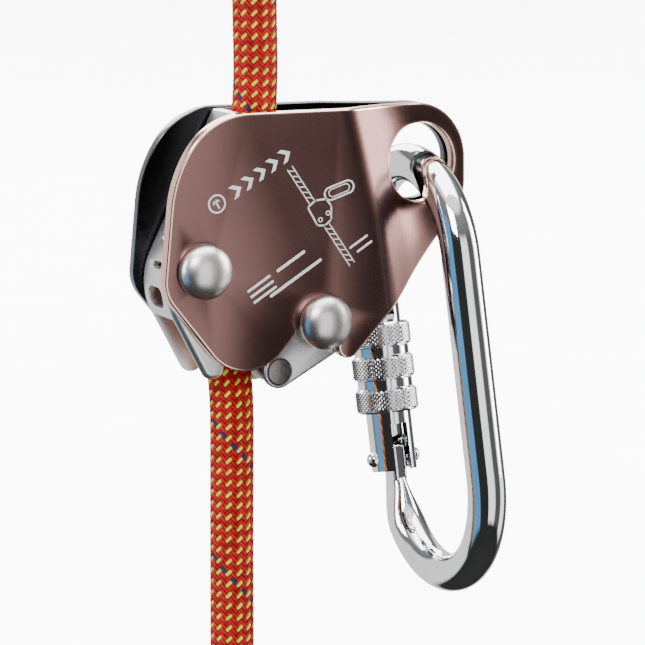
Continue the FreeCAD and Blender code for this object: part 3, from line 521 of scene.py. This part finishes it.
def plate_faces(loops):
    """Triangles between the loops, cut along the bend lines. The loops' insides lie on their left."""
    points, edges = [], []
    for loop in loops:
        start = len(points)
        points += loop
        edges += [(start + i, start + (i + 1) % len(loop)) for i in range(len(loop))]
    across = Vector((math.cos(BEND_TILT), math.sin(BEND_TILT)))
    along = Vector((-across.y, across.x))
    for u in bend_lines():
        middle = Vector(BEND_AT) + across * u
        edges.append((len(points), len(points) + 1))
        points += [middle - along * 90, middle + along * 90]
    flat, _, triangles, *_ = delaunay_2d_cdt(points, edges, [], 0, 0.01)
    kept = []
    for triangle in triangles:
        centre = sum((flat[i] for i in triangle), Vector((0, 0))) / 3
        if sum(inside(centre, loop) for loop in loops) == 1:
            kept.append(tuple(triangle))
    used = sorted({i for triangle in kept for i in triangle})
    order = {old: new for new, old in enumerate(used)}
    return [flat[i] for i in used], [tuple(order[i] for i in triangle) for triangle in kept]


def rim_loops(triangles):
    """Closed runs of the edges that have one triangle, each with the plate on its left."""
    directed = {(a, b) for t in triangles for a, b in zip(t, t[1:] + t[:1])}
    following = {a: b for a, b in directed if (b, a) not in directed}
    loops = []
    while following:
        loop = [min(following)]
        while following.get(loop[-1]) is not None:
            loop.append(following.pop(loop[-1]))
        loops.append(loop[:-1])
    return loops


def side_plate(node, outline, side, body, face, edge):
    """A 3 mm plate, bent inwards and back, with rounded edges in a lighter colour that is a painted
    highlight. side is -1 in front and 1 behind.
    """
    cut, back_cut = 0.6, 0.25
    outer = rounded(outline)
    if sum(a.x * b.y - b.x * a.y for a, b in zip(outer, outer[1:] + outer[:1])) < 0:
        outer.reverse()
    holes = [round_hole(*RING_HOLE, RING_HOLE_RADIUS + cut), round_hole(*PIVOT, PIN_RADIUS + cut)]
    if side > 0:
        holes.append(round_hole(*CAM, PIN_RADIUS + cut))
    flat, triangles = plate_faces([moved_out(outer, -cut)] + holes)
    one, two, three = (flat[i] for i in triangles[0])
    if (two - one).cross(three - one) < 0:
        triangles = [t[::-1] for t in triangles]
    made = Mesh()

    def place(point, depth):
        return (point.x, side * joggle(point.x, point.y, depth), point.y)

    forward = triangles if side < 0 else [t[::-1] for t in triangles]
    made.add([place(p, 0) for p in flat], forward)
    made.add([place(p, PLATE_THICK) for p in flat], [t[::-1] for t in forward])
    for loop in rim_loops(triangles):
        line = [flat[i] for i in loop]
        bends = [math.radians(t) for t in (30, 60, 90)]
        rows = [(cut * math.sin(t), cut * (1 - math.cos(t)), 1) for t in bends]
        rows += [(cut, PLATE_THICK - back_cut, 1), (cut - back_cut, PLATE_THICK, 1), (0, PLATE_THICK, 0)]
        previous = loop
        for out, depth, kind in rows:
            if out == 0:
                current = [i + len(flat) for i in loop]
            else:
                current = list(range(len(made.points), len(made.points) + len(loop)))
                made.points += [place(p, depth) for p in moved_out(line, out)]
            for i in range(len(loop)):
                j = (i + 1) % len(loop)
                face_points = (previous[j], previous[i], current[i], current[j])
                made.faces.append(face_points if side < 0 else face_points[::-1])
                made.kinds.append(kind)
            previous = current
    slot = "bronze_plate" if side < 0 else "black_plate"
    made.piece(node + "_bent", body, [face, edge], stands_for=[node], slot=slot, crease=22.0)


# ---------------------------------------------------------------- the rope
def route_curve(name, points, core_radius, body, nodes):
    """A smooth line through a route, with a round core on it; returns the curve and points along it."""
    curve = bpy.data.curves.new(name, "CURVE")
    curve.dimensions = "3D"
    curve.resolution_u = 24
    spline = curve.splines.new("NURBS")
    spline.points.add(len(points) - 1)
    for point, (x, z) in zip(spline.points, points):
        point.co = (x * MM, 0.0, z * MM, 1.0)
    spline.order_u = 3
    spline.use_endpoint_u = True
    piece = bpy.data.objects.new(name, curve)
    bpy.context.scene.collection.objects.link(piece)
    bpy.context.view_layer.update()
    plain = bpy.data.meshes.new_from_object(piece)
    line = np.array([v.co[:] for v in plain.vertices]) / MM
    bpy.data.meshes.remove(plain)
    curve.bevel_depth = core_radius * MM
    curve.bevel_resolution = 6
    curve.use_fill_caps = True
    curve.materials.append(MATERIALS["core"])
    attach(piece, body)
    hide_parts(*nodes)
    return piece, line


def braid(name, line, body):
    """The sheath: 24 strands each way, over two and under two; every second right-handed one is yellow."""
    carriers, middle, lift, half_height = 24, ROPE_RADIUS - 0.55, 0.24, 0.29
    left_half, red_half, yellow_half, navy_carrier = 0.56, 0.50, 0.48, 5
    lay_stretch, sample_step, smoothing, squareness = 1.09, 0.4, 9, 2.0
    grain_per_mm, grain_shift = 1.41, 7.3
    # section of a strand of two plies, as shares of its half width and half height
    across = np.array([1, 0.86, 0.5, 0.14, 0, -0.14, -0.5, -0.86, -1, 0])
    rise = np.array([-0.3, 0.55, 1, 0.6, 0.1, 0.6, 1, 0.55, -0.3, -0.9])
    sides = len(across)
    lay = lay_stretch * 2 * math.pi * middle
    steps = np.r_[0, np.cumsum(np.linalg.norm(np.diff(line, axis=0), axis=1))]
    length = steps[-1]
    count = int(length / sample_step)
    s = np.linspace(0, length, count)
    centre = np.stack([np.interp(s, steps, line[:, k]) for k in range(3)], 1)
    tangent = np.gradient(centre, s, axis=0)
    kernel = np.ones(smoothing) / smoothing
    padded = np.pad(tangent, ((smoothing // 2, smoothing // 2), (0, 0)), mode="edge")
    tangent = np.stack([np.convolve(padded[:, k], kernel, "valid") for k in range(3)], 1)
    tangent /= np.linalg.norm(tangent, axis=1)[:, None]
    front = np.tile([0.0, -1.0, 0.0], (count, 1))
    right = np.cross(tangent, front)
    points, faces, kinds, uv = [], [], [], []
    block = count * sides
    i, k = np.meshgrid(np.arange(count - 1), np.arange(sides), indexing="ij")
    a, b = i * sides + k, i * sides + (k + 1) % sides
    quads = np.stack([a, b, b + sides, a + sides], -1).reshape(-1, 4)
    for hand in (1, -1):
        for carrier in range(carriers):
            angle = 2 * math.pi * (carrier / carriers + hand * s / lay)
            crossed = carrier + hand * 2 * carriers * s / lay
            phase = crossed + carrier - (0.5 if hand > 0 else 2.5)
            wave = np.tanh(squareness * np.cos(math.pi * phase / 2)) / math.tanh(squareness)
            out = np.cos(angle)[:, None] * front + np.sin(angle)[:, None] * right
            path = centre + out * (middle + lift * wave)[:, None]
            ahead = np.gradient(path, axis=0)
            ahead /= np.linalg.norm(ahead, axis=1)[:, None]
            wide = np.cross(ahead, out)
            wide /= np.linalg.norm(wide, axis=1)[:, None]
            up = np.cross(wide, ahead)
            if hand < 0:
                kind, half_width = (2 if carrier == navy_carrier else 0), left_half
            else:
                kind, half_width = (1, yellow_half) if carrier % 2 == 0 else (0, red_half)
            ring = (path[:, None, :] + half_width * across[None, :, None] * wide[:, None, :]
                    + half_height * rise[None, :, None] * up[:, None, :])
            start = len(points) * block
            points.append(ring.reshape(-1, 3))
            ends = [tuple(start + k for k in reversed(range(sides))),
                    tuple(start + block - sides + k for k in range(sides))]
            faces += (quads + start).tolist() + ends
            kinds += [kind] * (len(quads) + 2)
            # u runs along the strand; v is whole along its middle and half-way between at its sides
            u, v = s[:, None] * grain_per_mm + carrier * grain_shift, across[None, :] * 0.5 + carrier
            uv.append(np.stack(np.broadcast_arrays(u, v), -1).reshape(-1, 2))
    piece = add_piece(name, np.concatenate(points), faces, body, ["red", "yellow", "navy"], kinds,
                      slot="rope_sheath", crease=80.0)
    layer = piece.data.uv_layers.new(name="strand")
    corner = np.zeros(len(piece.data.loops), np.int32)
    piece.data.loops.foreach_get("vertex_index", corner)
    layer.data.foreach_set("uv", np.concatenate(uv)[corner].astype(np.float32).ravel())
    return piece


def eye_route():
    """The eye's line: up one leg, round the thimble and down the other."""
    half, low, sweep, turns = 5.5, -27.5, 216.0, 5
    step = sweep / turns
    reach = EYE_RADIUS / math.cos(math.radians(step / 2))
    start = 90 + sweep / 2
    round_part = [(reach * math.cos(math.radians(start - step * (i + 0.5))),
                   reach * math.sin(math.radians(start - step * (i + 0.5)))) for i in range(turns)]
    first = (EYE_RADIUS * math.cos(math.radians(start)), EYE_RADIUS * math.sin(math.radians(start)))
    lean = 0.55
    leg = (first[0] + (first[0] + half) * -lean * 0.5, first[1] + (low - first[1]) * lean * 0.5)
    points = [(-half, low), leg] + round_part + [(-leg[0], leg[1]), (half, low)]
    return [(EYE_CENTRE[0] + x, EYE_CENTRE[1] + z) for x, z in points]


def make_rope():
    """The two stretches of rope and the eye, with their fittings."""
    core = ROPE_RADIUS - 0.6  # just under the sheath
    upper, upper_line = route_curve("rope_upper_core", ROPE_UP, core, "shell", ["rope_upper"])
    lower, lower_line = route_curve("rope_lower_core", ROPE_DOWN, core, "shell", ["rope_lower"])
    eye, eye_line = route_curve("rope_eye_core", eye_route(), core, "shell", ["rope_eye"])
    upper_sheath = braid("rope_upper_sheath", upper_line, "shell")
    lower_sheath = braid("rope_lower_sheath", lower_line, "shell")
    eye_sheath = braid("rope_eye_sheath", eye_line, "shell")
    splice_sleeve()
    softened("eye_thimble", 1.0, "thimble", "shell", 4)


# ---------------------------------------------------------------- rivets and pins
def dome_profile(radius, rim, height, count):
    """The outline of a dome that stands on a straight rim, nearly to its middle."""
    return [(radius * math.cos(t), rim + (height - rim) * math.sin(t))
            for t in np.linspace(0, math.pi / 2 - 0.03, count)]


def domed_pin(name, x, z, body):
    """A domed head on a straight shank that ends in the rear cap."""
    head, face = 6.65, PLATE_INNER + PLATE_THICK
    dome = dome_profile(head, rim=1.3, height=5.5, count=22)
    tail = -2 * face - 1.0
    profile = [(PIN_RADIUS - 0.4, tail), (PIN_RADIUS, tail + 0.4), (PIN_RADIUS, 0), (head - 0.45, 0),
               (head - 0.12, 0.12), (head, 0.45)] + dome
    made = Mesh()
    made.rings(lathe_rings(profile, facing(x, z, -face, True)))
    made.piece(name + "_head", body, ["rivet"], stands_for=[name], slot="rivet_steel", crease=35.0)


def rear_cap(name, x, z, body):
    """The shallow riveted-over head at the back."""
    radius, face = 6.2, PLATE_INNER + PLATE_THICK
    dome = dome_profile(radius, rim=0.8, height=3.4, count=18)
    profile = [(radius - 0.35, 0), (radius - 0.1, 0.1), (radius, 0.35)] + dome
    made = Mesh()
    made.rings(lathe_rings(profile, facing(x, z, face, False)))
    made.piece(name + "_cap", body, ["rivet"], stands_for=[name], slot="rivet_steel", crease=35.0)


# ---------------------------------------------------------------- locking sleeve
def locking_sleeve():
    """Three bands of pointed diamond knurling with polished grooves between them, bored right through."""
    outer, groove, bore, depth = 8.0, 7.0, 5.81, 0.42
    low, top, bands, groove_width = -11.0, 11.8, 3, 2.1
    columns, rows, lead, end_radius = 80, 10, 0.45, outer - depth - 0.4
    band = (top - low - (bands - 1) * groove_width) / bands
    angles = np.linspace(0, 2 * math.pi, columns, endpoint=False)

    def ring(radius, height):
        radii = np.broadcast_to(radius, (columns,))
        return [GATE @ Vector((r * math.cos(a), r * math.sin(a), height)) for r, a in zip(radii, angles)]

    rings, knurled = [ring(bore, top), ring(bore, low)], []
    for number in range(bands):
        start = low + number * (band + groove_width)
        rings.append(ring(groove if number > 0 else end_radius, start))
        for row in range(rows + 1):
            height = start + lead + (band - 2 * lead) * row / rows
            raised = (np.arange(columns) + row) % 2 * (0 < row < rows)
            if row > 0:
                knurled.append(len(rings) - 1)
            rings.append(ring(outer - depth + depth * raised, height))
        rings.append(ring(groove if number < bands - 1 else end_radius, start + band))
    made = Mesh()
    for points in rings:
        made.points += [tuple(p) for p in points]
    for level in range(len(rings)):
        following = (level + 1) % len(rings)
        here, there = level * columns, following * columns
        for i in range(columns):
            j = (i + 1) % columns
            a, b, c, d = here + i, here + j, there + j, there + i
            if level in knurled:
                row = knurled.index(level) % rows
                split = [(a, b, c), (a, c, d)] if (i + row) % 2 == 0 else [(a, b, d), (b, c, d)]
                made.faces += split
                made.kinds += [1, 1]
            else:
                made.faces.append((a, b, c, d))
                made.kinds.append(0)
    made.piece("locking_sleeve_knurled", "sleeve", ["chrome", "knurl"], stands_for=["locking_sleeve"],
               slot="knurled_chrome", crease=18.0)


# ---------------------------------------------------------------- markings
MARK_FACE = -PLATE_INNER - PLATE_THICK - 0.03
MARK_ROOT = -PLATE_INNER - PLATE_THICK + 0.05


def flat_prism(made, loop):
    """A thin raised mark on the front plate from a counter-clockwise run of (x, z)."""
    count = len(loop)
    points = [(x, MARK_FACE, z) for x, z in loop] + [(x, MARK_ROOT, z) for x, z in loop]
    sides = [(i, i + count, (i + 1) % count + count, (i + 1) % count) for i in range(count)]
    made.add(points, [tuple(range(count)), tuple(reversed(range(count, 2 * count)))] + sides)


def bar(made, start, end, width):
    """A mark with round ends."""
    a, b = Vector(start), Vector(end)
    along = math.atan2(b.y - a.y, b.x - a.x)
    loop = [(a.x + width / 2 * math.cos(along + t), a.y + width / 2 * math.sin(along + t))
            for t in np.linspace(math.pi / 2, 1.5 * math.pi, 9)]
    loop += [(b.x + width / 2 * math.cos(along + t), b.y + width / 2 * math.sin(along + t))
             for t in np.linspace(-math.pi / 2, math.pi / 2, 9)]
    flat_prism(made, loop)


def ring_mark(made, centre, radius, width, stretch=1.0, turn=0.0):
    """A closed line: a circle, or an oval stretched along a direction."""
    count, rows = 48, []
    for r, y in ((radius, MARK_FACE), (radius, MARK_ROOT), (radius - width, MARK_ROOT),
                 (radius - width, MARK_FACE)):
        row = []
        for a in np.linspace(0, 2 * math.pi, count, endpoint=False):
            push = (radius * (stretch - 1)) * (1 if math.cos(a) > 0 else -1)
            x, z = r * math.cos(a) + push, r * math.sin(a)
            row.append((centre[0] + x * math.cos(turn) - z * math.sin(turn), y,
                        centre[1] + x * math.sin(turn) + z * math.cos(turn)))
        rows.append(row)
    made.rings(rows + [rows[0]], closed_ends=False)


def make_markings():
    """Printed guidance: an up arrow, a simple picture of the grab on its rope, and plain rules for text."""
    made = Mesh()
    lean, line, thin = math.radians(31), 0.42, 0.28
    along, up = Vector((math.cos(lean), math.sin(lean))), Vector((-math.sin(lean), math.cos(lean)))

    def at(origin, right, rise):
        return Vector(origin) + along * right + up * rise

    emblem = (-8.7, 15.8)
    ring_mark(made, emblem, 2.3, line)
    bar(made, at(emblem, 0, -1.2), at(emblem, 0, 1.1), line)
    for side in (-0.75, 0.75):
        bar(made, at(emblem, side, 0.35), at(emblem, 0, 1.15), line)
    title = (-5.0, 17.9)
    pitch, half, point, stroke = 3.75, 1.65, 1.75, 1.3
    for step in range(5):
        shape = [(0, -half), (stroke, -half), (stroke + point, 0), (stroke, half), (0, half), (point, 0)]
        flat_prism(made, [tuple(at(title, pitch * step + right, rise)) for right, rise in shape])
    note = (0.2, -7.0)
    rules = [(note, 0, 6.5, rise, 0.62) for rise in (1.6, 0, -1.6)]
    rules += [(note, 9.0, 17.0, 1.4, 0.75), (note, 4.4, 19.6, -2.8, 0.75)]
    rules += [((27.2, 1.9), 0, 5.2, 1.4, 0.55), ((27.2, 1.9), 1.2, 5.5, -0.5, 0.55)]
    for origin, first, last, rise, width in rules:
        bar(made, at(origin, first, rise), at(origin, last, rise), width)
    rope_top, rope_foot = Vector((10.4, 23.2)), Vector((26.9, -0.8))
    slope = (rope_foot - rope_top).normalized()
    across = Vector((-slope.y, slope.x))
    body_from, body_to = 0.36, 0.60
    length = (rope_foot - rope_top).length
    for side in (-0.75, 0.75):
        for first, last in ((0.0, body_from), (body_to, 1.0)):
            bar(made, rope_top + slope * length * first + across * side,
                rope_top + slope * length * last + across * side, thin)
    gap, spacing = 0.03, 0.055
    for share in (*np.arange(gap, body_from, spacing), *np.arange(body_to + gap, 1.0, spacing)):
        middle = rope_top + slope * length * share
        bar(made, middle - across * 0.6 - slope * 0.5, middle + across * 0.6 + slope * 0.5, 0.24)
    grab = rope_top + slope * length * 0.475
    loop = [grab + slope * s * 3.2 + across * c for s, c in
            ((-1, -1.6), (0.6, -2.0), (1.0, -0.4), (0.95, 1.7), (0.1, 3.6), (-0.6, 3.4), (-1.05, 1.0))]
    for start, end in zip(loop, loop[1:] + loop[:1]):
        bar(made, start, end, line)
    ring_mark(made, grab + slope * 1.3 + across * -0.6, 0.62, thin)
    ring_mark(made, grab + slope * 1.2 + across * 1.9, 0.62, thin)
    link, link_lean = grab + across * 7.4 + slope * -1.5, math.radians(17)
    ring_mark(made, link, 1.75, line, 2.4, link_lean)
    ring_mark(made, link, 1.05, 0.25, 2.8, link_lean)
    made.piece("plate_markings", "lever", ["ink"], slot="bronze_plate", smooth=False)


# ---------------------------------------------------------------- stamped and machined pieces
def softened(node, width, material, body, segments=2):
    """A node's shape with its sharp edges broken by a width in mm, as on a real deburred piece."""
    shape = bmesh.new()
    shape.from_mesh(NODES[node].data)
    shape.transform(NODES[node].matrix_world)
    bmesh.ops.remove_doubles(shape, verts=shape.verts, dist=0.002 * MM)
    bmesh.ops.dissolve_limit(shape, angle_limit=math.radians(1.0), verts=shape.verts, edges=shape.edges)
    sharp = [edge for edge in shape.edges
             if edge.is_manifold and edge.calc_face_angle(0.0) > math.radians(35)]
    bmesh.ops.bevel(shape, geom=sharp, offset=width * MM, segments=segments, profile=0.6, affect="EDGES",
                    clamp_overlap=True)
    mesh = bpy.data.meshes.new(node + "_softened")
    shape.to_mesh(mesh)
    shape.free()
    mesh.materials.append(MATERIALS[material])
    mesh.polygons.foreach_set("use_smooth", np.ones(len(mesh.polygons), bool))
    mesh.polygons.foreach_set("material_index", np.zeros(len(mesh.polygons), np.int32))
    mesh.set_sharp_from_angle(angle=math.radians(40))
    piece = bpy.data.objects.new(node + "_softened", mesh)
    bpy.context.scene.collection.objects.link(piece)
    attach(piece, body)
    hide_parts(node)
    return piece


# ---------------------------------------------------------------- splice sleeve
def splice_sleeve():
    """Shrunk-on sleeve: round at its foot, wide and waisted where two legs of rope leave it."""
    foot, x_middle, lip, levels, count = 74.0, 6.4, 0.55, 44, 96
    heights, waist_from, waist_depth, crease_depth = [0.0, 6.0, 14.4, 24.0], 9.0, 0.14, 0.09
    half_x, half_y = [6.3, 6.65, 9.9, 11.75], [6.25, 6.6, 6.65, 6.6]
    angles = np.linspace(0, 2 * math.pi, count, endpoint=False)
    rings = []
    for z in np.linspace(heights[0], heights[-1], levels):
        near = min(z - heights[0], heights[-1] - z)
        tuck = lip - math.sqrt(max(0.0, lip ** 2 - (lip - min(near, lip)) ** 2))
        waist = waist_depth * max(0.0, (z - waist_from) / (heights[-1] - waist_from))
        ring = []
        for a in angles:
            crease = crease_depth * math.sin(9 * a + 0.25 * z) * math.sin(0.5 * z + 2 * a) - crease_depth
            x = (np.interp(z, heights, half_x) - tuck + crease) * math.cos(a)
            y = (np.interp(z, heights, half_y) - tuck + crease) * math.sin(a)
            ring.append((x_middle + x, y * (1 - waist * math.cos(a * 2 + math.pi) ** 2 * abs(math.sin(a))),
                         foot + z))
        rings.append(ring)
    made = Mesh()
    made.rings(rings)
    return made.piece("splice_sleeve_shrunk", "shell", ["sleeve"], stands_for=["splice_sleeve"],
                      slot="sleeve_plastic", crease=50.0)


# ---------------------------------------------------------------- CAD nodes that stay
def dress(material, *names):
    """Give CAD nodes a material."""
    for name in names:
        for slot in NODES[name].material_slots:
            slot.material = MATERIALS[material]


MATERIALS = make_materials()
make_camera()
make_world()
make_floor()
make_light("key", (-0.85, -0.95, 0.95), (0, 0, 0), (0.7, 0.7), 20)
make_light("right_panel", (1.05, -0.24, 0.33), (0, 0, 0), (0.35, 0.8), 9)
make_light("left_panel", (-1.05, 0.25, 0.33), (0, 0, 0), (0.3, 0.8), 7)
make_light("rear_panel", (0.3, 1.2, 0.7), (0, 0, 0), (0.8, 0.8), 14)
make_light("overhead", (0.3, 0.6, 2.6), (0.3, 0.6, 0), (3.2, 3.2), 190)
make_rope()
side_plate("front_side_plate", FRONT_OUTLINE, -1, "lever", "bronze", "bronze_highlight_rim")
side_plate("back_side_plate", BACK_OUTLINE, 1, "lever", "black", "black_highlight_rim")
for prefix, spot in (("main_pivot", PIVOT), ("cam", CAM)):
    domed_pin(prefix + "_pin", *spot, "lever")
    rear_cap(prefix + "_pin_rear_head", *spot, "lever")
locking_sleeve()
make_markings()

softened("channel_shell", 0.22, "shell", "shell")
for name in ("cam_arm_front", "cam_arm_back"):
    softened(name, 0.25, "arm", "cam")
softened("cam_cross_pin", 0.3, "cross_pin", "cam")
dress("bush", "main_pivot_bush", "cam_bush")
dress("washer", "main_pivot_washers", "cam_pin_washers")
dress("cam", "cam_block")
dress("spring", "cam_torsion_spring", "gate_spring")
dress("chrome", "carabiner_frame", "carabiner_gate", "gate_hinge_pin", "gate_latch_pin", "gate_plunger")
dress("sleeve", "rope_end_cap")
